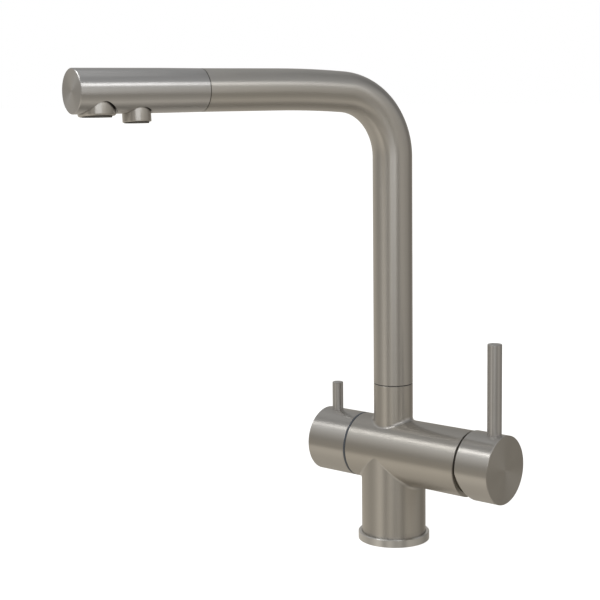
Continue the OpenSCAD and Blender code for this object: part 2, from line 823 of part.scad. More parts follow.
module swivel_o_rings() {
    color("#1f1f22") {
        for (z = o_ring_places())
            translate([0, 0, z]) o_ring(foot_r - groove_depth / 2, groove_depth - run_fit);
        translate([0, 0, swivel_floor - socket_depth / 2])
            o_ring((socket_d - ferrule_ring_t) / 2, ferrule_ring_t - run_fit);
    }
}

module slide_rings() {
    color("#d9d5c8") for (z = slide_ring_places())
        turned_z(sleeve(foot_r, foot_r - slide_ring_t, z + run_fit,
                        z + slide_ring_h - run_fit));
}

module filter_hose() {
    color("#e9e7e0") spout_path(hose_r, hose_bore_r,
                                swivel_floor - socket_depth + ferrule_len, hose_end);
}

// Brass end of the inner hose, which turns in the socket under the spout
module hose_ferrule() {
    z0 = swivel_floor - socket_depth + slip;
    z1 = swivel_floor - socket_depth + ferrule_len - run_fit;
    ring_z = swivel_floor - socket_depth / 2;
    color("#b59a5a") turned_z([
        [hose_bore_r / 2, z0], [socket_d / 2, z0], [socket_d / 2, ring_z - ferrule_ring_t / 2],
        [socket_d / 2 - ferrule_ring_t, ring_z - ferrule_ring_t / 2],
        [socket_d / 2 - ferrule_ring_t, ring_z + ferrule_ring_t / 2],
        [socket_d / 2, ring_z + ferrule_ring_t / 2], [socket_d / 2, z1],
        [hose_bore_r - run_fit, z1], [hose_bore_r - run_fit, z1 + barb_len],
        [hose_bore_r / 2, z1 + barb_len]
    ]);
}

// Solid turned head with a channel for the filtered water between two for the mixed water
module head() {
    x0 = head_x + seam / 2;
    color("#a8a198") difference() {
        turned_arm([
            [0, x0], [spout_r, x0], [head_r, x0 + head_taper], [head_r, reach - edge],
            [head_r - edge, reach], [0, reach]
        ]);
        turned_arm([
            [0, x0 - cut], [nipple_thread_r + slip, x0 - cut],
            [nipple_thread_r + slip, socket_x], [hose_r + slip, socket_x],
            [hose_r + slip, hose_end + slip], [hose_bore_r, hose_end + slip],
            [hose_bore_r, nozzle_x + nozzle_throat_r / 2], [0, nozzle_x + nozzle_throat_r / 2]
        ]);
        on_arm() {
            for (side = [-1, 1])
                translate([socket_x - cut, side * channel_y, arm_z + channel_up])
                    rotate([0, 90, 0])
                        cylinder(r = channel_r, h = main_x - main_throat_r / 2 - socket_x);
            outlet_pocket(main_x, main_r, main_gap, main_roof, main_throat_r,
                          arm_z + channel_up);
            outlet_pocket(nozzle_x, nozzle_r, nozzle_gap, nozzle_roof, nozzle_throat_r, arm_z);
        }
    }
}
// Pocket for an outlet: an open gap round its sleeve, the seat above it, and the throat.
// The gap ends a little above the place where it leaves the head's side.
module outlet_pocket(x, r, gap, roof_z, throat_r, throat_z) {
    seat_z = arm_z - sqrt(head_r * head_r - (r + gap) * (r + gap)) + gap_roof;
    rod_z(r + gap, arm_z - head_r - cut, seat_z, x);
    rod_z(r + slip, seat_z - cut, roof_z, x);
    rod_z(throat_r, roof_z - cut, throat_z, x);
}

module head_nipple() {
    x0 = head_x - seam / 2;
    color("#4a4945") turned_arm([
        [nipple_bore_r, x0 - nipple_len], [nipple_r, x0 - nipple_len], [nipple_r, x0],
        [spout_r - edge, x0], [spout_r - edge, x0 + seam], [nipple_thread_r, x0 + seam],
        [nipple_thread_r, socket_x - slip], [nipple_bore_r, socket_x - slip]
    ]);
}

module main_sleeve() {
    color("#b3ada4") on_arm() difference() {
        rod_z(main_r, main_bottom, main_roof - washer_h - run_fit, main_x);
        rod_z(main_r - sleeve_wall, main_bottom - cut, main_roof, main_x);
    }
}

module main_washer() {
    color("#1f1f22") on_arm() difference() {
        rod_z(main_r, main_roof - washer_h, main_roof, main_x);
        rod_z(main_throat_r, main_roof - washer_h - cut, main_roof + cut, main_x);
    }
}

// Plastic jet insert with a round mesh of holes in rings
module jet_insert(x, r, bottom, rings) {
    pitch = (r - mesh_rim) / rings;
    difference() {
        rod_z(r, bottom, bottom + insert_t, x);
        rod_z(mesh_hole_d / 2, bottom - cut, bottom + insert_t + cut, x);
        for (ring = [1 : rings])
            for (k = [0 : 6 * ring - 1])
                rotate_about(x, k * 60 / ring)
                    rod_z(mesh_hole_d / 2, bottom - cut, bottom + insert_t + cut,
                          x + ring * pitch);
    }
}
module rotate_about(x, angle) {
    translate([x, 0, 0]) rotate([0, 0, angle]) translate([-x, 0, 0]) children();
}

module main_insert() {
    r = main_r - sleeve_wall - slip;
    color("#2a2a2c") on_arm()
        jet_insert(main_x, r, main_bottom - insert_drop, main_mesh_rings);
}

module nozzle_sleeve() {
    color("#b3ada4") on_arm() difference() {
        rod_z(nozzle_r, nozzle_bottom, nozzle_roof - run_fit, nozzle_x);
        rod_z(nozzle_r - sleeve_wall, nozzle_bottom - cut, nozzle_roof, nozzle_x);
    }
}

module nozzle_insert() {
    r = nozzle_r - sleeve_wall - slip;
    color("#2a2a2c") on_arm() jet_insert(nozzle_x, r, nozzle_bottom - insert_drop,
                                         nozzle_mesh_rings);
}

body();
base_ring();
base_gasket();
swivel_stop_screw();
collar_washer();
seat_o_rings();
cartridge_base();
fixed_disc();
cartridge_housing();
cartridge_nut();
cover_ring();
turret();
pivot_pin();
moving_disc();
disc_carrier();
stem();
mixer_knob();
mixer_lever();
mixer_grub_screw();
valve_seal();
valve_fixed_disc();
valve_body();
spindle_o_ring();
friction_ring();
valve_spindle();
valve_moving_disc();
spindle_clip();
filter_knob();
filter_lever();
filter_grub_screw();
spout_tube();
spout_foot();
swivel_o_rings();
slide_rings();
filter_hose();
hose_ferrule();
head();
head_nipple();
main_sleeve();
main_insert();
main_washer();
nozzle_sleeve();
nozzle_insert();
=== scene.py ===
"""A deck-mounted kitchen faucet in brushed stainless steel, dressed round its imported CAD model."""

import logging
import math
from collections.abc import Iterable
from dataclasses import dataclass, field
from enum import Enum

import bmesh
import bpy
from mathutils import Matrix, Vector


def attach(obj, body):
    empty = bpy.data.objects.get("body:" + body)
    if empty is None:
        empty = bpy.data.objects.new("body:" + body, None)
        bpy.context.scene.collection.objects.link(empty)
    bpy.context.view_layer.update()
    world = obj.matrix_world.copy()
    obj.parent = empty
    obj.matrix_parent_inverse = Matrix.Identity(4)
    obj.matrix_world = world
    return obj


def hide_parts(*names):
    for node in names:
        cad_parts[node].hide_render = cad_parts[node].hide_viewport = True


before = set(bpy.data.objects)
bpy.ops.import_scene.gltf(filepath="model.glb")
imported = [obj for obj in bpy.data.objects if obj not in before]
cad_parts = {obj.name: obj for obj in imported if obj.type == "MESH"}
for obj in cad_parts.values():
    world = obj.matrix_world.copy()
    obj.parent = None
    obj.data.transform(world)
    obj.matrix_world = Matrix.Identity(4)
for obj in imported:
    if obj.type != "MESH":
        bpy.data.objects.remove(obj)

LOG = logging.getLogger("faucet")
MM = 0.001
UM = 1e-6
SAME_PLACE = 1e-6  # metres: points closer than this are one point
UPRIGHT = (0.0, 0.0, 1.0)
ALONG_CROSS = (1.0, 0.0, 0.0)
NOISE_LOW, NOISE_HIGH = 0.3, 0.7  # nearly all of a fine noise lies between these
CLOUD_LOW, CLOUD_HIGH = 0.35, 0.65  # and most of a broad one between these
# A Mix node's inputs and outputs share their names, so they are taken by number
FACTOR, NUMBER_A, NUMBER_B, VECTOR_A, VECTOR_B, COLOUR_A, COLOUR_B = 0, 2, 3, 4, 5, 6, 7
NUMBER_OUT, VECTOR_OUT, COLOUR_OUT = 0, 1, 2

Triple = tuple[float, float, float]
Stops = tuple[tuple[float, float], ...]


class Part(Enum):
    """The CAD bodies that new pieces ride on."""

    TAP = "tap_body"
    SPOUT = "spout"


class Slot(Enum):
    """The record's material slots."""

    BODY = "steel_body"
    RING = "steel_ring"


def linear(colour: str) -> tuple[float, float, float, float]:
    """Turns an sRGB hex colour into linear light.

    Args:
        colour: Six hex digits after a hash.

    Returns:
        Red, green, blue and an alpha of one.
    """
    channels = [int(colour[i : i + 2], 16) / 255 for i in (1, 3, 5)]
    light = [c / 12.92 if c <= 0.04045 else ((c + 0.055) / 1.055) ** 2.4 for c in channels]
    return (light[0], light[1], light[2], 1.0)


def tinted(colour: str, share: float) -> tuple[float, float, float, float]:
    """Makes an sRGB hex colour brighter or darker.

    Args:
        colour: Six hex digits after a hash.
        share: What its linear light is multiplied by.

    Returns:
        Red, green, blue and an alpha of one, in linear light.
    """
    return (*(Vector(linear(colour)[:3]) * share), 1.0)


def add_node(tree: bpy.types.NodeTree, kind: str, inputs: dict | None = None, **settings: object) -> bpy.types.Node:
    """Adds one node with its settings and links.

    Args:
        tree: The node tree that takes it.
        kind: The node's type.
        inputs: Input name or number to a value, or to the socket that feeds it.
        **settings: The node's own properties.

    Returns:
        The new node.
    """
    node = tree.nodes.new(kind)
    for name, value in settings.items():
        setattr(node, name, value)
    for name, source in (inputs or {}).items():
        if isinstance(source, bpy.types.NodeSocket):
            tree.links.new(source, node.inputs[name])
        else:
            node.inputs[name].default_value = source
    return node


def empty_material(name: str) -> bpy.types.Material:
    """Makes a material whose node tree is empty.

    Args:
        name: The material's name.

    Returns:
        The new material.
    """
    mat = bpy.data.materials.new(name)
    mat.use_nodes = True
    mat.node_tree.nodes.clear()
    return mat


def set_ramp(node: bpy.types.Node, stops: Stops, low: float, high: float, top: float) -> None:
    """Gives a Color Ramp grey stops.

    Args:
        node: The Color Ramp.
        stops: Angle and level of each stop, in order.
        low: The angle at the ramp's start.
        high: The angle at its end.
        top: The level that becomes one.
    """
    ramp = node.color_ramp
    while len(ramp.elements) < len(stops):
        ramp.elements.new(1.0)
    for element, (angle, level) in zip(ramp.elements, stops):
        element.position = (angle - low) / (high - low)
        element.color = (level / top, level / top, level / top, 1.0)


@dataclass(frozen=True)
class Axis:
    """A turning axis: a point on it in millimetres, and its direction."""

    centre: Triple
    direction: Triple = UPRIGHT


@dataclass(frozen=True)
class BrushedSteel:
    """AISI 304 stainless steel, turned and then brushed round its own axis with fine grit.

    It gives a warm grey, reflections drawn out along the piece, and faint lines round it. The cross axis and its
    radius are for a body of two crossing cylinders: outside that radius the lines run round the first axis.
    """

    name: str
    axis: Axis = Axis((0.0, 0.0, 0.0))
    cross_axis: Axis | None = None
    cross_radius: float = 0.0
    colour: str = "#ccc9c5"
    roughness: float = 0.31
    line_roughness: float = 0.02
    cloud_roughness: float = 0.012
    stretch: float = 0.88
    # 400-grit lines are some 0.05 mm apart, finer than the render shows, so they are drawn as coarse as these
    grain_mm: float = 0.5
    streak_mm: float = 1.5
    streak_share: float = 0.45
    contrast: float = 0.035
    relief_um: float = 0.4
    # per metre: a brush mark is some 22 mm long, and a patch of heavier brushing some 17 mm wide
    mark_scale: float = 45.0
    cloud_scale: float = 60.0

    def material(self) -> bpy.types.Material:
        """Builds the finish.

        Returns:
            The finished material.
        """
        mat = empty_material(self.name)
        tree = mat.node_tree
        place = add_node(tree, "ShaderNodeTexCoord")
        centred, direction = self._centred(tree, place.outputs["Object"])
        round_way = add_node(tree, "ShaderNodeVectorMath", {0: direction, 1: centred}, operation="CROSS_PRODUCT")
        drawn = add_node(tree, "ShaderNodeVectorMath", {0: place.outputs["Normal"], 1: round_way.outputs[0]},
                         operation="CROSS_PRODUCT")
        along = add_node(tree, "ShaderNodeVectorMath", {0: centred, 1: direction}, operation="DOT_PRODUCT")
        radius = add_node(tree, "ShaderNodeVectorMath", {0: round_way.outputs[0]}, operation="LENGTH")
        lines = add_node(tree, "ShaderNodeMath", {0: along.outputs["Value"], 1: radius.outputs["Value"]})
        return self._finish(mat, drawn.outputs[0], lines.outputs[0], centred)

    def _centred(self, tree: bpy.types.NodeTree,
                 coords: bpy.types.NodeSocket) -> tuple[bpy.types.NodeSocket, bpy.types.NodeSocket | Triple]:
        """Measures the place from the axis, and picks the cross axis on the cross body's own surface.

        Args:
            tree: The material's node tree.
            coords: Object coordinates.

        Returns:
            The centred place, and the direction as a vector or a socket.
        """
        centred = add_node(tree, "ShaderNodeVectorMath", {0: coords, 1: Vector(self.axis.centre) * MM},
                           operation="SUBTRACT").outputs[0]
        if self.cross_axis is None:
            return centred, self.axis.direction
        off_axis = add_node(tree, "ShaderNodeVectorMath", {0: self.cross_axis.direction, 1: centred},
                            operation="CROSS_PRODUCT")
        distance = add_node(tree, "ShaderNodeVectorMath", {0: off_axis.outputs[0]}, operation="LENGTH")
        outside = add_node(tree, "ShaderNodeMath", {0: distance.outputs["Value"], 1: self.cross_radius * MM},
                           operation="GREATER_THAN")
        direction = add_node(tree, "ShaderNodeMix", {
            FACTOR: outside.outputs[0], VECTOR_A: self.cross_axis.direction, VECTOR_B: self.axis.direction,
        }, data_type="VECTOR")
        return centred, direction.outputs[VECTOR_OUT]

    def _finish(self, mat: bpy.types.Material, drawn: bpy.types.NodeSocket, lines: bpy.types.NodeSocket,
                coords: bpy.types.NodeSocket) -> bpy.types.Material:
        """Adds what all the brushed pieces share: lines, streaks, stretch and the metal itself.

        Args:
            mat: The material that is being made.
            drawn: The way across the brush lines, in object space.
            lines: Distance across the brush lines, in metres.
            coords: The place, for what varies slowly along a line.

        Returns:
            The finished material.
        """
        tree = mat.node_tree
        world_way = add_node(tree, "ShaderNodeVectorTransform", {0: drawn}, vector_type="VECTOR",
                             convert_from="OBJECT", convert_to="WORLD")
        slow = add_node(tree, "ShaderNodeVectorMath", {0: coords, "Scale": self.mark_scale}, operation="SCALE")
        noises = []
        for pitch in (self.grain_mm, self.streak_mm):
            count = add_node(tree, "ShaderNodeMath", {0: lines, 1: 1 / (pitch * MM)}, operation="MULTIPLY")
            across = add_node(tree, "ShaderNodeCombineXYZ", {0: count.outputs[0]})
            where = add_node(tree, "ShaderNodeVectorMath", {0: across.outputs[0], 1: slow.outputs[0]})
            noises.append(add_node(tree, "ShaderNodeTexNoise", {
                "Vector": where.outputs[0], "Scale": 1.0, "Detail": 2.0, "Roughness": 0.6}).outputs["Fac"])
        streak = add_node(tree, "ShaderNodeMix", {FACTOR: self.streak_share, NUMBER_A: noises[0], NUMBER_B: noises[1]})
        height = streak.outputs[NUMBER_OUT]
        tint = add_node(tree, "ShaderNodeMix", {
            FACTOR: height, COLOUR_A: tinted(self.colour, 1 - self.contrast),
            COLOUR_B: tinted(self.colour, 1 + self.contrast)}, data_type="RGBA")
        satin = add_node(tree, "ShaderNodeMapRange", {
            "Value": height, "From Min": NOISE_LOW, "From Max": NOISE_HIGH,
            "To Min": self.roughness - self.line_roughness, "To Max": self.roughness + self.line_roughness})
        cloud = add_node(tree, "ShaderNodeTexNoise", {"Vector": coords, "Scale": self.cloud_scale, "Detail": 2.0})
        soft = add_node(tree, "ShaderNodeMapRange", {
            "Value": cloud.outputs["Fac"], "From Min": CLOUD_LOW, "From Max": CLOUD_HIGH,
            "To Min": -self.cloud_roughness, "To Max": self.cloud_roughness})
        rough = add_node(tree, "ShaderNodeMath", {0: satin.outputs[0], 1: soft.outputs[0]})
        relief = add_node(tree, "ShaderNodeBump", {"Height": height, "Strength": 1.0, "Distance": self.relief_um * UM})
        shader = add_node(tree, "ShaderNodeBsdfPrincipled", {
            "Base Color": tint.outputs[COLOUR_OUT], "Metallic": 1.0, "Roughness": rough.outputs[0],
            "Anisotropic": self.stretch, "Tangent": world_way.outputs[0], "Normal": relief.outputs[0]})
        add_node(tree, "ShaderNodeOutputMaterial", {"Surface": shader.outputs[0]})
        return mat


@dataclass(frozen=True)
class DrawnTubeSteel(BrushedSteel):
    """The spout's stainless tube, bent and then brushed round.

    It gives the same warm grey, with lines and reflections that follow the bend.
    """

    def material(self) -> bpy.types.Material:
        """Builds the finish from the tube's own path, kept in its attributes.

        Returns:
            The finished material.
        """
        mat = empty_material(self.name)
        flow = add_node(mat.node_tree, "ShaderNodeAttribute", attribute_name="flow")
        along = add_node(mat.node_tree, "ShaderNodeAttribute", attribute_name="along")
        place = add_node(mat.node_tree, "ShaderNodeTexCoord")
        return self._finish(mat, flow.outputs["Vector"], along.outputs["Fac"], place.outputs["Object"])


@dataclass(frozen=True)
class Plain:
    """A moulded, turned or lapped finish in one colour, with fine mottling and a fine grain."""

    name: str
    colour: str
    roughness: float
    metallic: float = 0.0
    ior: float = 1.5
    # The grain of a mould or a cutting tool is some 0.05 mm wide, too fine to show, so it is drawn as coarse as this
    grain_mm: float = 0.4
    relief_um: float = 4.0
    vary: float = 0.1
    vary_roughness: float = 0.05
    # per metre: the mottling is some 8 mm wide
    cloud_scale: float = 120.0

    def material(self) -> bpy.types.Material:
        """Builds the finish.

        Returns:
            The finished material.
        """
        mat = empty_material(self.name)
        tree = mat.node_tree
        place = add_node(tree, "ShaderNodeTexCoord")
        grain = add_node(tree, "ShaderNodeTexNoise", {
            "Vector": place.outputs["Object"], "Scale": 1 / (self.grain_mm * MM), "Detail": 3.0})
        cloud = add_node(tree, "ShaderNodeTexNoise", {"Vector": place.outputs["Object"], "Scale": self.cloud_scale})
        tint = add_node(tree, "ShaderNodeMix", {
            FACTOR: cloud.outputs["Fac"], COLOUR_A: tinted(self.colour, 1 - self.vary),
            COLOUR_B: tinted(self.colour, 1 + self.vary)}, data_type="RGBA")
        rough = add_node(tree, "ShaderNodeMapRange", {
            "Value": grain.outputs["Fac"], "From Min": NOISE_LOW, "From Max": NOISE_HIGH,
            "To Min": self.roughness - self.vary_roughness, "To Max": self.roughness + self.vary_roughness})
        relief = add_node(tree, "ShaderNodeBump", {
            "Height": grain.outputs["Fac"], "Strength": 1.0, "Distance": self.relief_um * UM})
        values = {"Base Color": tint.outputs[COLOUR_OUT], "Metallic": self.metallic, "Roughness": rough.outputs[0],
                  "Normal": relief.outputs[0]}
        if not self.metallic:
            values["IOR"] = self.ior
        shader = add_node(tree, "ShaderNodeBsdfPrincipled", values)
        add_node(tree, "ShaderNodeOutputMaterial", {"Surface": shader.outputs[0]})
        return mat


def dress(node: str, finish: BrushedSteel | Plain) -> None:
    """Puts a finish of its own on a CAD node that keeps its shape.

    Args:
        node: The node's name.
        finish: Its finish.
    """
    cover(node, finish.material())


def cover(node: str, material: bpy.types.Material) -> None:
    """Puts a made material on a CAD node that keeps its shape.

    Args:
        node: The node's name.
        material: Its material.
    """
    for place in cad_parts[node].material_slots:
        place.material = material
    LOG.info("%s: %s", node, material.name)


class Workpiece:
    """One piece on the bench, started from a primitive and shaped in edit mode."""

    def __init__(self, name: str, made: bpy.types.Object) -> None:
        """Takes over a new primitive and gives it its name."""
        self.obj = made
        made.name = name
        made.data.name = name

    @classmethod
    def ring(cls, name: str, radius: float, height: float, sides: int = 96) -> "Workpiece":
        """Starts from an open circle round the Z axis.

        Args:
            name: The piece's name.
            radius: The circle's radius in metres.
            height: Its height in metres.
            sides: Number of its edges.

        Returns:
            The new piece.
        """
        bpy.ops.object.select_all(action="DESELECT")
        bpy.ops.mesh.primitive_circle_add(vertices=sides, radius=radius, location=(0, 0, height))
        piece = cls(name, bpy.context.object)
        bpy.ops.object.transform_apply(location=True, rotation=True, scale=True)
        piece.edit()
        bpy.ops.mesh.select_all(action="SELECT")
        return piece

    def take(self) -> None:
        """Selects this piece alone and makes it the active one."""
        bpy.ops.object.select_all(action="DESELECT")
        self.obj.select_set(True)
        bpy.context.view_layer.objects.active = self.obj

    def edit(self) -> None:
        """Opens the piece in edit mode with nothing selected."""
        self.take()
        bpy.ops.object.mode_set(mode="EDIT")
        bpy.ops.mesh.select_all(action="DESELECT")

    def close(self) -> None:
        """Goes back to object mode."""
        bpy.ops.object.mode_set(mode="OBJECT")

    def pull(self, way: Vector) -> None:
        """Extrudes the selected edges along a vector."""
        bpy.ops.mesh.extrude_edges_move(TRANSFORM_OT_translate={"value": way})

    def turned(self, profile: Iterable[tuple[float, float]]) -> None:
        """Draws the open ring along a turned outline.

        Args:
            profile: Radius and height of each step, in millimetres.
        """
        ring = [v for v in bmesh.from_edit_mesh(self.obj.data).verts if v.select]
        radius = ring[0].co.xy.length
        height = ring[0].co.z
        for r, z in profile:
            self.pull(Vector((0, 0, z * MM - height)))
            if abs(r * MM - radius) > SAME_PLACE:
                ratio = r * MM / radius
                bpy.ops.transform.resize(value=(ratio, ratio, 1), center_override=(0, 0, z * MM))
            radius, height = r * MM, z * MM

    def weld(self) -> None:
        """Merges the points that lie on each other and turns all faces outwards."""
        bpy.ops.mesh.select_all(action="SELECT")
        bpy.ops.mesh.remove_doubles(threshold=SAME_PLACE)
        bpy.ops.mesh.normals_make_consistent(inside=False)

    def modify(self, kind: str, **settings: object) -> None:
        """Adds a modifier and applies it.

        Args:
            kind: The modifier's type.
            **settings: Its properties.
        """
        self.take()
        modifier = self.obj.modifiers.new(kind.title(), kind)
        for name, value in settings.items():
            setattr(modifier, name, value)
        bpy.ops.object.modifier_apply(modifier=modifier.name)

    def place(self, matrix: Matrix) -> None:
        """Moves the piece to its place and applies that to its mesh.

        Args:
            matrix: The place and the turn.
        """
        self.take()
        self.obj.matrix_world = matrix
        bpy.ops.object.transform_apply(location=True, rotation=True, scale=True)

    def done(self, part: Part, slot: Slot, material: bpy.types.Material, stands_for: Iterable[str] = (),
             smooth_deg: float = 30.0) -> None:
        """Finishes the piece: smooth shading, its material, its body and what it stands for.

        Args:
            part: The CAD body that it rides on.
            slot: Not used.
            material: Its finish.
            stands_for: CAD nodes that it replaces.
            smooth_deg: Edges sharper than this stay crisp.
        """
        self.take()
        bpy.ops.object.shade_smooth_by_angle(angle=math.radians(smooth_deg))
        self.obj.data.materials.clear()
        self.obj.data.materials.append(material)
        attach(self.obj, part.value)
        if stands_for:
            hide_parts(*stands_for)
        LOG.info("%s: %d faces on %s", self.obj.name, len(self.obj.data.polygons), part.value)


@dataclass(frozen=True)
class Sleeve:
    """A turned and polished ring in the head's underside, leaning a little as in the photograph; in millimetres."""

    node: str
    out: float
    outer: float
    bottom: float
    top: float
    wall: float = 1.2
    lip: float = 0.45
    inner_lip: float = 0.3
    mouth: float = 309.5
    lean_deg: float = 5.0
    sides: int = 128

    def build(self, way: Vector) -> None:
        """Turns the sleeve with its rounded lip and sets it in the head.

        Args:
            way: The arm's direction.
        """
        inner = self.outer - self.wall
        piece = Workpiece.ring(f"{self.node}_turned", inner * MM, self.top * MM, self.sides)
        piece.turned(self._profile(inner))
        piece.weld()
        piece.close()
        centre = way * self.out
        pivot = Matrix.Translation((0, 0, self.mouth * MM))
        lean = pivot @ Matrix.Rotation(math.radians(self.lean_deg), 4, way) @ pivot.inverted()
        piece.place(Matrix.Translation((centre.x * MM, centre.y * MM, 0)) @ lean)
        # Polished after turning: a clearer, shorter reflection than on the brushed head, and hardly any lines
        steel = BrushedSteel(f"polished stainless steel, {self.node}", Axis((centre.x, centre.y, 0)), stretch=0.75,
                             contrast=0.02, relief_um=0.15)
        piece.done(Part.SPOUT, Slot.RING, steel.material(), [self.node])

    def _profile(self, inner: float) -> list[tuple[float, float]]:
        """Draws the outline: down the bore, round the inner and the outer lip, and up the outside.

        Args:
            inner: The bore's radius.

        Returns:
            Radius and height of each step.
        """
        outline = [(inner, self.bottom + self.inner_lip)]
        for turn in map(math.radians, (30, 60, 90)):
            outline.append((inner + self.inner_lip * (1 - math.cos(turn)),
                            self.bottom + self.inner_lip * (1 - math.sin(turn))))
        for turn in map(math.radians, (0, 30, 60, 90)):
            outline.append((self.outer - self.lip * (1 - math.sin(turn)),
                            self.bottom + self.lip * (1 - math.cos(turn))))
        return outline + [(self.outer, (self.bottom + self.top) / 2), (self.outer, self.top), (inner, self.top)]


@dataclass
class Spout:
    """The swivelling spout: bent tube, outlet head and its two outlets; in millimetres and degrees.

    The arm leaves the tight bend on a long easy curve, of radius ease_r, before it runs level.
    """

    tube_r: float = 14.0
    wall: float = 1.5
    foot_z: float = 114.3
    arm_z: float = 324.0
    bend_r: float = 46.4
    ease_r: float = 725.0
    ease_deg: float = 4.2
    tube_end: float = 153.75
    turn_deg: float = 16.6
    rise_steps: int = 8
    bend_steps: int = 40
    ease_steps: int = 6
    arm_steps: int = 3
    sleeves: tuple[Sleeve, ...] = (Sleeve("main_sleeve", 227.4, 11.8, 308.4, 321.5, wall=1.5, lip=1.2),
                                   Sleeve("nozzle_sleeve", 200.2, 9.1, 304.4, 320.4))
    way: Vector = field(init=False)
    bend_z: float = field(init=False)
    ease_x: float = field(init=False)

    def __post_init__(self) -> None:
        """Works out the arm's direction, where the bend starts and where the easy curve ends."""
        ease = math.radians(self.ease_deg)
        turn = math.radians(self.turn_deg)
        self.way = Vector((-math.sin(turn), -math.cos(turn), 0))
        self.bend_z = self.arm_z - self.ease_r + (self.ease_r - self.bend_r) * math.cos(ease)
        self.ease_x = self.bend_r + (self.ease_r - self.bend_r) * math.sin(ease)

    def build(self) -> None:
        """Builds the tube and dresses the head and its outlets."""
        self._tube()
        arm = Axis((0, 0, self.arm_z), tuple(self.way))
        # Turned from solid bar and brushed finer than the tube: a cooler grey with a narrow, bright highlight
        dress("head", BrushedSteel("brushed stainless steel, outlet head", arm, colour="#cac9c9", roughness=0.315,
                                   stretch=0.86, relief_um=0.15))
        for sleeve in self.sleeves:
            sleeve.build(self.way)

    def _tube(self) -> None:
        """Bends the spout tube and records its path for the brush lines."""
        side = Vector(UPRIGHT).cross(self.way)
        piece = Workpiece.ring("spout_tube_bent", self.tube_r * MM, self.foot_z * MM)
        rise = (self.bend_z - self.foot_z) * MM
        for _ in range(self.rise_steps):
            piece.pull(Vector((0, 0, rise / self.rise_steps)))
        bend_at = self.way * self.bend_r * MM + Vector((0, 0, self.bend_z * MM))
        bpy.ops.mesh.spin(steps=self.bend_steps, angle=math.radians(90 - self.ease_deg), center=bend_at, axis=-side)
        ease_at = self.way * self.ease_x * MM + Vector((0, 0, (self.arm_z - self.ease_r) * MM))
        bpy.ops.mesh.spin(steps=self.ease_steps, angle=math.radians(self.ease_deg), center=ease_at, axis=-side)
        level = (self.tube_end - self.ease_x) * MM
        for _ in range(self.arm_steps):
            piece.pull(self.way * level / self.arm_steps)
        piece.weld()
        piece.close()
        piece.modify("SOLIDIFY", thickness=self.wall * MM, offset=-1.0, use_even_offset=True)
        self._record_path(piece.obj.data)
        # Brushed after bending, a little rougher than the head: a broad, soft highlight that follows the bend
        steel = DrawnTubeSteel("brushed stainless steel, spout tube", roughness=0.37)
        piece.done(Part.SPOUT, Slot.BODY, steel.material(), ["spout_tube"])

    def _record_path(self, mesh: bpy.types.Mesh) -> None:
        """Writes each point's distance along the tube, and the tube's direction there.

        Args:
            mesh: The tube's mesh.
        """
        along = mesh.attributes.new("along", "FLOAT", "POINT")
        flow = mesh.attributes.new("flow", "FLOAT_VECTOR", "POINT")
        bend_turn = math.radians(90 - self.ease_deg)
        straight = self.bend_z - self.foot_z
        curves = bend_turn * self.bend_r + math.radians(self.ease_deg) * self.ease_r
        for point in mesh.vertices:
            out = point.co.dot(self.way) / MM
            up = point.co.z / MM
            from_bend = math.atan2(up - self.bend_z, self.bend_r - out)
            from_ease = math.atan2(self.ease_x - out, up - (self.arm_z - self.ease_r))
            if up < self.bend_z and out < self.bend_r:
                run, climb = up - self.foot_z, math.radians(90)
            elif from_bend < bend_turn and out < self.ease_x:
                run, climb = straight + from_bend * self.bend_r, math.radians(90) - from_bend
            elif out < self.ease_x:
                run, climb = straight + curves - from_ease * self.ease_r, from_ease
            else:
                run, climb = straight + curves + out - self.ease_x, 0.0
            along.data[point.index].value = run * MM
            flow.data[point.index].vector = self.way * math.cos(climb) + Vector((0, 0, math.sin(climb)))


